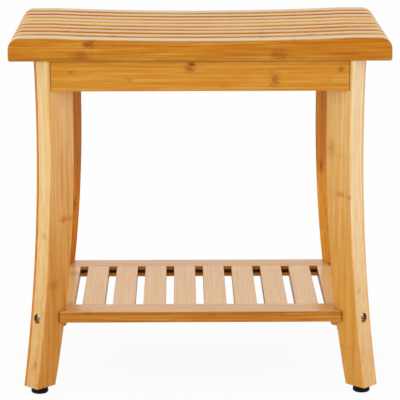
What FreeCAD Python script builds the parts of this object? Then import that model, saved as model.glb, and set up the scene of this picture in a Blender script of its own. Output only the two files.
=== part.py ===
"""Bamboo shower bench: dished slat seat on aprons, four sabre legs set on the diagonals, slatted shelf.

Frame: origin on the floor under the middle of the seat, +X along the seat, -Y the front, +Z up.
"""
import FreeCAD, Part
import math
import os
import re

import Sketcher
from FreeCAD import Placement, Rotation, Vector

SEAT_SLATS = 9
SHELF_SLATS = 10

# Driving sizes in millimetres
SIZES = {
    # seat
    "seat_length": 500,
    "seat_underside": 450,
    "outer_slat_width": 25,
    "inner_slat_width": 18,
    "slat_gap": 14,
    "slat_height": 31,
    "slat_corner_radius": 15.5,
    "slat_toe_radius": 3,
    "slat_edge_radius": 2,
    "dish_margin": 50,
    "dish_depth": 4.2,
    # aprons under the seat
    "apron_height": 40,
    "apron_thickness": 18,
    "apron_setback": 3,
    "end_overhang": 34.5,
    "apron_seam": 0.8,
    "apron_edge_radius": 1.5,
    # battens under the slats
    "batten_width": 30,
    "batten_thickness": 15,
    "batten_block_gap": 14.3,
    "dowel_radius": 3,
    "dowel_length": 20,
    "dowel_spacing": 16,
    # corner blocks behind the leg tops
    "block_height": 34,
    "block_thickness": 22,
    "block_screw_seat": 10,
    "block_screw_length": 23,
    "block_fixing_spacing": 18,
    # legs, in the upright plane along the diagonal
    "leg_thickness": 28,
    "leg_width": 43.4,
    "leg_setback": 11.8,
    "leg_outer_radius": 1930,
    "leg_waist_drop": 100,
    "leg_inner_radius": 1387,
    "leg_straight_run": 110,
    "leg_edge_radius": 2.5,
    "leg_foot_radius": 2,
    # shelf
    "shelf_top": 110,
    "shelf_corner_reach": 31.1,
    "shelf_seam": 2,
    "rail_width": 38,
    "rail_thickness": 15,
    "rail_edge_radius": 1.5,
    "groove_width": 5,
    "groove_depth": 4.5,
    "shelf_slat_width": 30.4,
    "shelf_end_slat_width": 41,
    "shelf_slat_thickness": 12,
    "shelf_slat_edge_radius": 1,
    "tongue_shoulder": 2,
    # feet
    "foot_height": 9,
    "foot_radius": 11.5,
    "foot_round": 2.5,
    "foot_taper": 0.6,
    "foot_floor": 3,
    "stud_radius": 4,
    "stud_reach": 22,
    "foot_insert_radius": 6,
    "foot_insert_length": 18,
    # screws, bolts and inserts
    "screw_radius": 2,
    "screw_head_radius": 4,
    "screw_head_height": 2.5,
    "seat_screw_length": 30,
    "bolt_radius": 3,
    "bolt_head_radius": 5,
    "bolt_head_height": 6,
    "socket_radius": 2.9,
    "socket_depth": 3,
    "counterbore_radius": 6.5,
    "counterbore_depth": 9.5,
    "washer_radius": 6,
    "washer_thickness": 1.5,
    "leg_insert_radius": 5,
    "leg_insert_length": 15,
    "shelf_insert_radius": 4.5,
    "shelf_insert_length": 9,
    # clearances, measured on the radius or between faces
    "bolt_clearance": 0.3,
    "thread_clearance": 0.05,
    "press_clearance": 0.05,
    "tongue_clearance": 0.2,
    "end_clearance": 0.5,
}

doc = FreeCAD.newDocument("ShowerBench")
sheet = doc.addObject("Spreadsheet::Sheet", "Sizes")
for row, (alias, number) in enumerate(SIZES.items(), start=1):
    sheet.set(f"A{row}", alias)
    sheet.set(f"B{row}", str(number))
    sheet.setAlias(f"B{row}", alias)
doc.recompute()

# Formulas: plain size names, joined by arithmetic

ROOT2 = "sqrt(2)"
OUTER_WIDTHS = "2 * outer_slat_width"
INNER_WIDTHS = f"{SEAT_SLATS - 2} * inner_slat_width"
SEAT_HALF_DEPTH = f"({OUTER_WIDTHS} + {INNER_WIDTHS} + {SEAT_SLATS - 1} * slat_gap) / 2"
APRON_X = "(seat_length / 2 - end_overhang)"
APRON_Y = f"({SEAT_HALF_DEPTH} - apron_setback)"
INNER_Y = f"({APRON_Y} - apron_thickness)"
APRON_END_CUT = f"({ROOT2} * (leg_thickness / 2 + apron_seam))"


LEG_WAIST = "(seat_underside - leg_waist_drop)"
LEG_BEND = "(seat_underside - leg_straight_run)"
LEG_STRAIGHT = "(-leg_setback - leg_width)"


def leg_outer(height):
    """Outer edge of a leg at a height, outward from the aprons' outer corner."""
    run = f"sqrt(leg_outer_radius^2 - ({LEG_WAIST} - ({height}))^2)"
    return f"(leg_outer_radius - leg_setback - {run})"


def leg_inner(height):
    """Inner edge of a leg at a height below the bend, outward from the aprons' outer corner."""
    run = f"sqrt(leg_inner_radius^2 - ({LEG_BEND} - ({height}))^2)"
    return f"(leg_inner_radius + {LEG_STRAIGHT} - {run})"


FOOT_CENTRE = f"({leg_inner('foot_height')} + {leg_outer('foot_height')}) / 2"
SHELF_MIDDLE = "(shelf_top - rail_thickness / 2)"
SHELF_INSET = f"({leg_inner('shelf_top')} + shelf_corner_reach) / {ROOT2}"
SHELF_HALF_DEPTH = f"({APRON_Y} + {SHELF_INSET})"
SHELF_HALF_LENGTH = f"({APRON_X} + {SHELF_INSET})"
SHELF_SPAN = f"({SHELF_HALF_DEPTH} - rail_width)"
SHELF_ROOM = f"(2 * ({SHELF_HALF_LENGTH} - shelf_end_slat_width))"
SHELF_GAP = f"(({SHELF_ROOM} - {SHELF_SLATS - 2} * shelf_slat_width) / {SHELF_SLATS - 1})"
TONGUE_LENGTH = "(groove_depth - end_clearance)"
TONGUE_END = f"({SHELF_HALF_LENGTH} - shelf_end_slat_width + shelf_slat_width - tongue_shoulder)"
GROOVE_END = f"({TONGUE_END} + end_clearance)"
BLOCK_MIDDLE = "(seat_underside - block_height / 2)"
BLOCK_NEAR = f"(-{LEG_STRAIGHT} - apron_thickness * {ROOT2})"
BLOCK_FAR = f"({BLOCK_NEAR} + block_thickness)"
BLOCK_END = f"({APRON_X} + ({LEG_STRAIGHT} - block_thickness - {BLOCK_FAR}) / {ROOT2})"
BATTEN_SPACING = f"({BLOCK_END} - batten_block_gap - batten_width / 2)"
BOLT_SEAT = f"({leg_outer(SHELF_MIDDLE)} - counterbore_depth)"
STUD_LENGTH = "(foot_height - foot_floor + stud_reach)"


def formula(text):
    """Turn plain size names into references to the sheet."""
    return re.sub(r"[a-z_]+", lambda word: f"Sizes.{word[0]}" if word[0] in SIZES else word[0], text)


def mm(text):
    """Value of a formula."""
    return float(sheet.evalExpression(formula(text)))


def bind(item, **sizes):
    """Tie properties of an object to formulas."""
    for name, text in sizes.items():
        item.setExpression(name, formula(text))
    return item


# Corners of the bench: each has its own frame, +X outward along the diagonal

CORNERS = {"front_left": (-1, -1), "front_right": (1, -1), "rear_right": (1, 1), "rear_left": (-1, 1)}


def corner_frame(name):
    """Frame at the aprons' outer corner, turned to the diagonal."""
    side, end = CORNERS[name]
    angle = math.degrees(math.atan2(end, side))
    return Placement(Vector(side * mm(APRON_X), end * mm(APRON_Y), 0), Rotation(Vector(0, 0, 1), angle))


# Sketches and solid features

TOLERANCE = 1e-4


def attach(sketch, role, offset="0"):
    """Lay a sketch on an origin plane of its body, moved along the plane's normal."""
    body = sketch.getParentGeoFeatureGroup()
    plane = next(item for item in body.Origin.OriginFeatures if item.Role == role)
    sketch.AttachmentSupport = [(plane, "")]
    sketch.MapMode = "FlatFace"
    bind(sketch, **{"AttachmentOffset.Base.z": offset})


def arc_between(start, end, radius, turn):
    """Arc of less than a half circle between two points, turning left (1) or right (-1)."""
    chord = end - start
    rise = math.sqrt(radius**2 - (chord.Length / 2) ** 2)
    across = Vector(-chord.y, chord.x, 0).normalize()
    centre = start + chord * 0.5 + across * rise * turn
    first, last = (start, end) if turn > 0 else (end, start)
    begin = math.atan2(first.y - centre.y, first.x - centre.x)
    finish = math.atan2(last.y - centre.y, last.x - centre.x)
    if finish < begin:
        finish += 2 * math.pi
    return Part.ArcOfCircle(Part.Circle(centre, Vector(0, 0, 1), radius), begin, finish)


def outline(sketch, steps):
    """Draw a closed outline. A step is a corner (x, y), or (x, y, radius, turn) where an arc leaves it."""
    corners = [Vector(mm(step[0]), mm(step[1]), 0) for step in steps]
    ends = []
    for index, step in enumerate(steps):
        start, end = corners[index], corners[(index + 1) % len(corners)]
        if len(step) == 2:
            sketch.addGeometry(Part.LineSegment(start, end), False)
            ends.append((1, 2))
        else:
            sketch.addGeometry(arc_between(start, end, mm(step[2]), step[3]), False)
            ends.append((1, 2) if step[3] > 0 else (2, 1))
    for index, step in enumerate(steps):
        following = (index + 1) % len(steps)
        first, last = ends[index]
        corner = corners[index]
        sketch.addConstraint(Sketcher.Constraint("Coincident", index, last, following, ends[following][0]))
        lock(sketch, Sketcher.Constraint("DistanceX", -1, 1, index, first, corner.x), step[0])
        lock(sketch, Sketcher.Constraint("DistanceY", -1, 1, index, first, corner.y), step[1])
        if len(step) > 2:
            lock(sketch, Sketcher.Constraint("Radius", index, mm(step[2])), step[2])


def lock(sketch, constraint, text):
    """Add a constraint whose value follows a formula."""
    index = sketch.addConstraint(constraint)
    name = f"size_{index}"
    sketch.renameConstraint(index, name)
    bind(sketch, **{f"Constraints.{name}": text})


def pad(body, name, role, steps, length, offset="0", symmetric=False):
    """Pad a closed outline drawn on an origin plane of the body."""
    sketch = body.newObject("Sketcher::SketchObject", f"{name}_sketch")
    attach(sketch, role, offset)
    outline(sketch, steps)
    feature = body.newObject("PartDesign::Pad", name)
    feature.Profile = sketch
    feature.SideType = "Symmetric" if symmetric else "One side"
    bind(feature, Length=length)
    doc.recompute()
    return feature


def round_edges(body, name, feature, chosen, radius):
    """Round those edges of the feature that the test picks."""
    edges = [f"Edge{n}" for n, edge in enumerate(feature.Shape.Edges, start=1) if chosen(edge)]
    fillet = body.newObject("PartDesign::Fillet", name)
    fillet.Base = (feature, edges)
    bind(fillet, Radius=radius)
    doc.recompute()
    return fillet


def lies_at(edge, axis, place):
    """Whether a whole edge lies at one place on an axis."""
    low = getattr(edge.BoundBox, f"{axis}Min")
    high = getattr(edge.BoundBox, f"{axis}Max")
    return abs(low - place) < TOLERANCE and abs(high - place) < TOLERANCE


def rectangle(x_low, y_low, x_high, y_high):
    """Corners of an upright rectangle."""
    return [(x_low, y_low), (x_high, y_low), (x_high, y_high), (x_low, y_high)]


def new_body(name):
    """Empty body with a name that becomes the blank of a sub-part."""
    return doc.addObject("PartDesign::Body", f"{name}_blank")


# Round primitives, booleans and fasteners


def cylinder(name, radius, length, start, direction):
    """Cylinder from a start point along a direction."""
    item = bind(doc.addObject("Part::Cylinder", name), Radius=radius, Height=length)
    item.Placement = Placement(start, Rotation(Vector(0, 0, 1), direction))
    return item


def cut(name, base, tools):
    """Base with the tools taken away."""
    tool = tools[0]
    if len(tools) > 1:
        tool = doc.addObject("Part::MultiFuse", f"{name}_tools")
        tool.Shapes = tools
    item = doc.addObject("Part::Cut", name)
    item.Base = base
    item.Tool = tool
    return item


def fuse(name, base, tool):
    """Two solids made one."""
    item = doc.addObject("Part::Fuse", name)
    item.Base = base
    item.Tool = tool
    return item


def ring(name, outer, bore, length, start, direction):
    """Plain sleeve: a washer or a threaded insert."""
    return cut(
        name,
        cylinder(f"{name}_outside", outer, length, start, direction),
        [cylinder(f"{name}_bore", bore, length, start, direction)],
    )


def screw(name, length, seat, direction):
    """Pan-head screw whose head sits on the seat point and whose shank runs along the direction."""
    head_start = seat - direction * mm("screw_head_height")
    return fuse(
        name,
        cylinder(f"{name}_head", "screw_head_radius", "screw_head_height", head_start, direction),
        cylinder(f"{name}_shank", "screw_radius", length, seat, direction),
    )


def bolt(name, length, seat, direction):
    """Socket-head bolt whose head sits on the seat point and whose shank runs along the direction."""
    head_start = seat - direction * mm("bolt_head_height")
    solid = fuse(
        f"{name}_solid",
        cylinder(f"{name}_head", "bolt_head_radius", "bolt_head_height", head_start, direction),
        cylinder(f"{name}_shank", "bolt_radius", length, seat, direction),
    )
    socket = doc.addObject("Part::Prism", f"{name}_socket")
    bind(socket, Circumradius="socket_radius", Height="socket_depth")
    socket.Polygon = 6
    socket.Placement = Placement(head_start, Rotation(Vector(0, 0, 1), direction))
    return cut(name, solid, [socket])


SUBPARTS = []


def keep(item, label, placement=None):
    """Name an object as a sub-part of the bench."""
    item.Label = label
    if placement is not None:
        item.Placement = placement
    SUBPARTS.append(item)


def keep_group(label, items):
    """Name a set of like fasteners as one sub-part."""
    group = doc.addObject("Part::Compound", label)
    group.Links = items
    keep(group, label)


UP = Vector(0, 0, 1)
BATTENS = {"left": -1, "centre": 0, "right": 1}
OUTER_SLATS = (0, SEAT_SLATS - 1)
INNER_SLATS = range(1, SEAT_SLATS - 1)


def slat_width(index):
    """Size that a seat slat takes its width from: the front and rear slats are wider."""
    return "outer_slat_width" if index in OUTER_SLATS else "inner_slat_width"


def slat_y(index):
    """Middle of a seat slat, counted from the front."""
    steps = index - (SEAT_SLATS - 1) / 2
    if index in OUTER_SLATS:
        return math.copysign(mm(f"{SEAT_HALF_DEPTH} - outer_slat_width / 2"), steps)
    return steps * mm("inner_slat_width + slat_gap")


def batten_x(side):
    """Middle of a batten."""
    return side * mm(BATTEN_SPACING)


# Seat


def seat_slat(index):
    """One long slat: flat below, dished above, with rounded ends and edges."""
    label = f"seat_slat_{index + 1}"
    body = new_body(label)
    end = "seat_length / 2"
    dish_end = f"({end} - dish_margin)"
    dish_radius = f"({dish_end}^2 + dish_depth^2) / (2 * dish_depth)"
    right = [
        (f"{end} - slat_toe_radius", "0", "slat_toe_radius", 1),
        (end, "slat_toe_radius"),
        (end, "slat_height - slat_corner_radius", "slat_corner_radius", 1),
        (f"{end} - slat_corner_radius", "slat_height"),
        (dish_end, "slat_height", dish_radius, -1),
    ]
    left = [
        (f"-{dish_end}", "slat_height"),
        (f"slat_corner_radius - {end}", "slat_height", "slat_corner_radius", 1),
        (f"-{end}", "slat_height - slat_corner_radius"),
        (f"-{end}", "slat_toe_radius", "slat_toe_radius", 1),
        (f"slat_toe_radius - {end}", "0"),
    ]
    blank = pad(body, f"{label}_pad", "XZ_Plane", right + left, slat_width(index), symmetric=True)
    half = mm(f"{slat_width(index)} / 2")
    round_edges(
        body,
        f"{label}_edges",
        blank,
        lambda edge: lies_at(edge, "Y", half) or lies_at(edge, "Y", -half),
        "slat_edge_radius",
    )
    body.Placement = Placement(Vector(0, slat_y(index), mm("seat_underside")), Rotation())
    if index in INNER_SLATS:
        pilot_depth = "seat_screw_length - batten_thickness + end_clearance"
        bores = [
            cylinder(
                f"{label}_pilot_{name}",
                "screw_radius + press_clearance",
                pilot_depth,
                Vector(batten_x(side), slat_y(index), mm("seat_underside")),
                UP,
            )
            for name, side in BATTENS.items()
        ]
    else:
        bores = dowel_bores(label, slat_dowel_joints(index), UP)
    keep(cut(label, body, bores), label)


def slat_dowel_joints(index):
    """Points where the dowels of an outer slat cross from the apron into the slat."""
    middle = math.copysign(mm(f"{APRON_Y} - apron_thickness / 2"), slat_y(index))
    return [Vector(batten_x(side) / 2, middle, mm("seat_underside")) for side in (-1, 1)]


def batten_dowel_joints(side, end):
    """Points where the dowels of one batten end cross into the front (-1) or rear (1) apron."""
    height = mm("seat_underside - batten_thickness / 2")
    places = [batten_x(side) + step * mm("dowel_spacing / 2") for step in (-1, 1)]
    return [Vector(x, end * mm(INNER_Y), height) for x in places]


def dowel_bores(name, joints, direction):
    """Blind holes on one side of dowelled joints."""
    length = "dowel_length / 2 + end_clearance"
    return [
        cylinder(f"{name}_dowel_{n}", "dowel_radius + press_clearance", length, joint, direction)
        for n, joint in enumerate(joints)
    ]


def seat_batten(name, side):
    """Cross batten between the front and rear aprons."""
    label = f"seat_batten_{name}"
    blank = bind(
        doc.addObject("Part::Box", f"{label}_blank"),
        Length="batten_width",
        Width=f"2 * {INNER_Y}",
        Height="batten_thickness",
    )
    middle = batten_x(side)
    low = Vector(middle - mm("batten_width / 2"), -mm(INNER_Y), mm("seat_underside - batten_thickness"))
    blank.Placement = Placement(low, Rotation())
    screw_holes = [
        cylinder(
            f"{label}_screw_{index}",
            "screw_radius + bolt_clearance",
            "batten_thickness",
            Vector(middle, slat_y(index), low.z),
            UP,
        )
        for index in INNER_SLATS
    ]
    front = dowel_bores(f"{label}_front", batten_dowel_joints(side, -1), Vector(0, 1, 0))
    rear = dowel_bores(f"{label}_rear", batten_dowel_joints(side, 1), Vector(0, -1, 0))
    keep(cut(label, blank, screw_holes + front + rear), label)


def dowels(name, joints, direction):
    """Dowels laid half on each side of their joints."""
    half = direction * mm("dowel_length / 2")
    return [
        cylinder(f"{name}_{n}", "dowel_radius", "dowel_length", joint - half, direction)
        for n, joint in enumerate(joints)
    ]


def seat_fasteners():
    """Screws up through the battens, dowels from battens to aprons and from aprons to outer slats."""
    screws = []
    across = []
    for name, side in BATTENS.items():
        for index in INNER_SLATS:
            seat = Vector(batten_x(side), slat_y(index), mm("seat_underside - batten_thickness"))
            screws.append(screw(f"seat_screw_{name}_{index}", "seat_screw_length", seat, UP))
        for end in (-1, 1):
            joints = batten_dowel_joints(side, end)
            across += dowels(f"batten_dowel_{name}_{end + 1}", joints, Vector(0, 1, 0))
    keep_group("seat_screws", screws)
    keep_group("batten_dowels", across)
    upright = []
    for index in OUTER_SLATS:
        upright += dowels(f"slat_dowel_{index}", slat_dowel_joints(index), UP)
    keep_group("slat_dowels", upright)


# Aprons and corner blocks


def block_screws(name):
    """Seat points and directions of the screws from one corner block into its two aprons."""
    frame = corner_frame(name)
    half_run = mm("block_thickness / 2")
    for side in (-1, 1):
        on_apron = Vector(mm(LEG_STRAIGHT) - half_run, side * (mm(BLOCK_NEAR) + half_run), 0)
        outward = Vector(1, side, 0).normalize()
        for step in (-1, 1):
            height = mm(BLOCK_MIDDLE) + step * mm("block_fixing_spacing / 2")
            local = on_apron - outward * mm("block_screw_seat") + UP * height
            yield frame.multVec(local), frame.Rotation.multVec(outward)


def apron(label, turn, face, half_length, drilled):
    """Board with mitred ends, modelled at the front and turned to its side of the bench."""
    body = new_body(label)
    outside = f"({half_length} - {APRON_END_CUT})"
    inside = f"({outside} - apron_thickness)"
    plan = [
        (f"-{outside}", f"-{face}"),
        (outside, f"-{face}"),
        (inside, f"apron_thickness - {face}"),
        (f"-{inside}", f"apron_thickness - {face}"),
    ]
    low = "seat_underside - apron_height"
    blank = pad(body, f"{label}_pad", "XY_Plane", plan, "apron_height", offset=low)
    round_edges(
        body,
        f"{label}_edge",
        blank,
        lambda edge: lies_at(edge, "Y", -mm(face)) and lies_at(edge, "Z", mm(low)),
        "apron_edge_radius",
    )
    body.Placement = Placement(Vector(), Rotation(UP, turn))
    keep(cut(label, body, block_pilots(label, Rotation(UP, turn).multVec(Vector(0, -1, 0))) + drilled), label)


def block_pilots(label, outward):
    """Pilot holes in the apron that faces outward, for the screws of the blocks at its ends."""
    pilots = []
    for name in CORNERS:
        for n, (seat, direction) in enumerate(block_screws(name)):
            if direction.isEqual(outward, TOLERANCE):
                pilots.append(
                    cylinder(
                        f"{label}_pilot_{name}_{n}",
                        "screw_radius + press_clearance",
                        "block_screw_length - block_screw_seat + end_clearance",
                        seat + direction * mm("block_screw_seat"),
                        direction,
                    )
                )
    return pilots


def aprons():
    """Four aprons: the front and rear ones also hold the dowels of the battens and the outer slats."""
    ends = (("apron_front", 0, -1), ("apron_rear", 180, 1))
    for (label, turn, end), slat in zip(ends, OUTER_SLATS):
        drilled = dowel_bores(f"{label}_slat", slat_dowel_joints(slat), UP * -1)
        for name, side in BATTENS.items():
            drilled += dowel_bores(f"{label}_{name}", batten_dowel_joints(side, end), Vector(0, end, 0))
        apron(label, turn, APRON_Y, APRON_X, drilled)
    apron("apron_right", 90, APRON_X, APRON_Y, [])
    apron("apron_left", 270, APRON_X, APRON_Y, [])


def leg_bolt_heights():
    """Heights of the two bolts at a leg top."""
    return [mm(BLOCK_MIDDLE) + step * mm("block_fixing_spacing / 2") for step in (-1, 1)]


def corner_block(name):
    """Trapezoid block across the corner, flat against the leg and both aprons."""
    label = f"corner_block_{name}"
    body = new_body(label)
    plan = [
        (f"{LEG_STRAIGHT} - block_thickness", f"-{BLOCK_FAR}"),
        (LEG_STRAIGHT, f"-{BLOCK_NEAR}"),
        (LEG_STRAIGHT, BLOCK_NEAR),
        (f"{LEG_STRAIGHT} - block_thickness", BLOCK_FAR),
    ]
    pad(body, f"{label}_pad", "XY_Plane", plan, "block_height", offset="seat_underside - block_height")
    frame = corner_frame(name)
    body.Placement = frame
    outward = frame.Rotation.multVec(Vector(1, 0, 0))
    inner = mm(f"{LEG_STRAIGHT} - block_thickness")
    bores = [
        cylinder(
            f"{label}_bolt_{n}",
            "bolt_radius + bolt_clearance",
            "block_thickness",
            frame.multVec(Vector(inner, 0, height)),
            outward,
        )
        for n, height in enumerate(leg_bolt_heights())
    ]
    for n, (seat, direction) in enumerate(block_screws(name)):
        shank = "screw_radius + bolt_clearance"
        head = "screw_head_radius + bolt_clearance"
        bores.append(cylinder(f"{label}_screw_{n}", shank, "block_screw_seat", seat, direction))
        bores.append(cylinder(f"{label}_pocket_{n}", head, "block_thickness", seat, direction * -1))
    keep(cut(label, body, bores), label)


def corner_fasteners():
    """Block screws, and the bolts, washers and inserts that hold the leg tops."""
    screws = []
    bolts = []
    washers = []
    inserts = []
    for name in CORNERS:
        frame = corner_frame(name)
        outward = frame.Rotation.multVec(Vector(1, 0, 0))
        for n, (seat, direction) in enumerate(block_screws(name)):
            screws.append(screw(f"block_screw_{name}_{n}", "block_screw_length", seat, direction))
        for n, height in enumerate(leg_bolt_heights()):
            face = frame.multVec(Vector(mm(f"{LEG_STRAIGHT} - block_thickness"), 0, height))
            under_washer = face - outward * mm("washer_thickness")
            leg_face = frame.multVec(Vector(mm(LEG_STRAIGHT), 0, height))
            length = "washer_thickness + block_thickness + leg_insert_length"
            bolts.append(bolt(f"leg_bolt_{name}_{n}", length, under_washer, outward))
            washers.append(
                ring(
                    f"leg_washer_{name}_{n}",
                    "washer_radius",
                    "bolt_radius + bolt_clearance",
                    "washer_thickness",
                    under_washer,
                    outward,
                )
            )
            inserts.append(
                ring(
                    f"leg_insert_{name}_{n}",
                    "leg_insert_radius",
                    "bolt_radius + thread_clearance",
                    "leg_insert_length",
                    leg_face,
                    outward,
                )
            )
    keep_group("corner_block_screws", screws)
    keep_group("leg_bolts", bolts)
    keep_group("leg_bolt_washers", washers)
    keep_group("leg_inserts", inserts)


# Legs and feet


def leg(name):
    """Sabre leg: outer edge one long arc, inner edge straight above and curved below, ends sawn level."""
    label = f"leg_{name}"
    body = new_body(label)
    side = [
        (leg_inner("foot_height"), "foot_height"),
        (leg_outer("foot_height"), "foot_height", "leg_outer_radius", -1),
        (leg_outer("seat_underside"), "seat_underside"),
        (LEG_STRAIGHT, "seat_underside"),
        (LEG_STRAIGHT, LEG_BEND, "leg_inner_radius", 1),
    ]
    blank = pad(body, f"{label}_pad", "XZ_Plane", side, "leg_thickness", symmetric=True)
    half = mm("leg_thickness / 2")

    def long_edge(edge):
        upright = edge.BoundBox.ZLength > TOLERANCE
        return upright and (lies_at(edge, "Y", half) or lies_at(edge, "Y", -half))

    sides = round_edges(body, f"{label}_edges", blank, long_edge, "leg_edge_radius")
    bottom = mm("foot_height")
    round_edges(body, f"{label}_foot", sides, lambda edge: lies_at(edge, "Z", bottom), "leg_foot_radius")
    frame = corner_frame(name)
    body.Placement = frame
    keep(cut(label, body, leg_bores(label, frame)), label)


def leg_bores(label, frame):
    """Holes in one leg: top inserts, shelf bolt with its counterbore, foot insert and stud."""
    outward = frame.Rotation.multVec(Vector(1, 0, 0))
    bores = [
        cylinder(
            f"{label}_insert_{n}",
            "leg_insert_radius + press_clearance",
            "leg_insert_length + end_clearance",
            frame.multVec(Vector(mm(LEG_STRAIGHT), 0, height)),
            outward,
        )
        for n, height in enumerate(leg_bolt_heights())
    ]
    bolt_seat = frame.multVec(Vector(mm(BOLT_SEAT), 0, mm(SHELF_MIDDLE)))
    foot = frame.multVec(Vector(mm(FOOT_CENTRE), 0, mm("foot_height")))
    holes = (
        ("counterbore", "counterbore_radius", "2 * counterbore_depth", bolt_seat, outward),
        ("bolt", "bolt_radius + bolt_clearance", "leg_width", bolt_seat, outward * -1),
        ("foot_insert", "foot_insert_radius + press_clearance", "foot_insert_length", foot, UP),
        ("stud", "stud_radius + bolt_clearance", "stud_reach + end_clearance", foot, UP),
    )
    for hole, *measures in holes:
        bores.append(cylinder(f"{label}_{hole}", *measures))
    return bores


def foot_pad(name):
    """Round pad, slightly tapered, with a rounded lower edge and a blind socket for its stud."""
    label = f"foot_pad_{name}"
    body = new_body(label)
    side = [
        ("0", "0"),
        ("foot_radius - foot_round", "0", "foot_round", 1),
        ("foot_radius", "foot_round"),
        ("foot_radius - foot_taper", "foot_height"),
        ("stud_radius + press_clearance", "foot_height"),
        ("stud_radius + press_clearance", "foot_floor"),
        ("0", "foot_floor"),
    ]
    sketch = body.newObject("Sketcher::SketchObject", f"{label}_sketch")
    attach(sketch, "XZ_Plane")
    outline(sketch, side)
    turned = body.newObject("PartDesign::Revolution", f"{label}_turned")
    turned.Profile = sketch
    turned.ReferenceAxis = (sketch, ["V_Axis"])
    turned.Angle = 360
    frame = corner_frame(name)
    keep(body, label, Placement(frame.multVec(Vector(mm(FOOT_CENTRE), 0, 0)), frame.Rotation))


def foot_stud(name):
    """Threaded stud from the pad up into the leg."""
    label = f"foot_stud_{name}"
    start = corner_frame(name).multVec(Vector(mm(FOOT_CENTRE), 0, mm("foot_floor")))
    keep(cylinder(label, "stud_radius", STUD_LENGTH, start, UP), label)


def foot_inserts():
    """Threaded inserts in the leg bottoms."""
    inserts = [
        ring(
            f"foot_insert_{name}",
            "foot_insert_radius",
            "stud_radius + thread_clearance",
            "foot_insert_length",
            corner_frame(name).multVec(Vector(mm(FOOT_CENTRE), 0, mm("foot_height"))),
            UP,
        )
        for name in CORNERS
    ]
    keep_group("foot_inserts", inserts)


# Shelf


def leg_slot(label, name):
    """Slot that lets one leg into a shelf corner, with its floor sloped like the leg's inner edge."""
    frame = corner_frame(name)
    half_width = "(leg_thickness / 2 + shelf_seam)"
    half_height = "(rail_thickness + shelf_corner_reach)"
    slot = bind(
        doc.addObject("Part::Box", f"{label}_slot_{name}"),
        Length="shelf_corner_reach + leg_width",
        Width=f"2 * {half_width}",
        Height=f"2 * {half_height}",
    )
    lean = math.asin(mm(f"({LEG_BEND} - {SHELF_MIDDLE}) / leg_inner_radius"))
    floor_middle = Vector(mm(f"{leg_inner(SHELF_MIDDLE)} - press_clearance"), 0, mm(SHELF_MIDDLE))
    tilt = Placement(floor_middle, Rotation(Vector(0, 1, 0), -math.degrees(lean)))
    corner = Placement(Vector(0, -mm(half_width), -mm(half_height)), Rotation())
    slot.Placement = frame.multiply(tilt).multiply(corner)
    return slot


def shelf_insert_start(frame):
    """Mouth of a shelf insert, level with the innermost part of the leg within the shelf's thickness."""
    return frame.multVec(Vector(mm(leg_inner("shelf_top")), 0, mm(SHELF_MIDDLE)))


def corner_cuts(label, names):
    """Leg slots and insert bores, made right through the rails and the outer slats of the shelf."""
    tools = []
    for name in names:
        frame = corner_frame(name)
        inward = frame.Rotation.multVec(Vector(-1, 0, 0))
        lead = f"({leg_inner('shelf_top - rail_thickness')} - {leg_inner('shelf_top')})"
        bore = cylinder(
            f"{label}_insert_{name}",
            "shelf_insert_radius + press_clearance",
            f"{lead} + shelf_insert_length + end_clearance",
            shelf_insert_start(frame) - inward * mm(lead),
            inward,
        )
        tools += [leg_slot(label, name), bore]
    return tools


def shelf_rail(label, turn, names):
    """Grooved rail, modelled at the front and turned to its side of the shelf."""
    body = new_body(label)
    front = f"-{SHELF_HALF_DEPTH}"
    back = f"(rail_width - {SHELF_HALF_DEPTH})"
    low = "shelf_top - rail_thickness"
    section = [
        (f"rail_edge_radius - {SHELF_HALF_DEPTH}", low),
        (back, low),
        (back, "shelf_top"),
        (f"rail_edge_radius - {SHELF_HALF_DEPTH}", "shelf_top", "rail_edge_radius", 1),
        (front, "shelf_top - rail_edge_radius"),
        (front, f"{low} + rail_edge_radius", "rail_edge_radius", 1),
    ]
    pad(body, f"{label}_pad", "YZ_Plane", section, f"2 * {SHELF_HALF_LENGTH}", symmetric=True)
    body.Placement = Placement(Vector(), Rotation(UP, turn))
    keep(cut(label, body, [rail_groove(label, turn)] + corner_cuts(label, names)), label)


def rail_groove(label, turn):
    """Groove for the slat tongues along a rail's inner face, stopped at the outermost tongues."""
    groove = bind(
        doc.addObject("Part::Box", f"{label}_groove"),
        Length=f"2 * {GROOVE_END}",
        Width="2 * groove_depth",
        Height="groove_width",
    )
    inner = f"{SHELF_SPAN} + groove_depth"
    low = f"{SHELF_MIDDLE} - groove_width / 2"
    start = Vector(-mm(GROOVE_END), -mm(inner), mm(low))
    groove.Placement = Placement(Vector(), Rotation(UP, turn)).multiply(Placement(start, Rotation()))
    return groove


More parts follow.
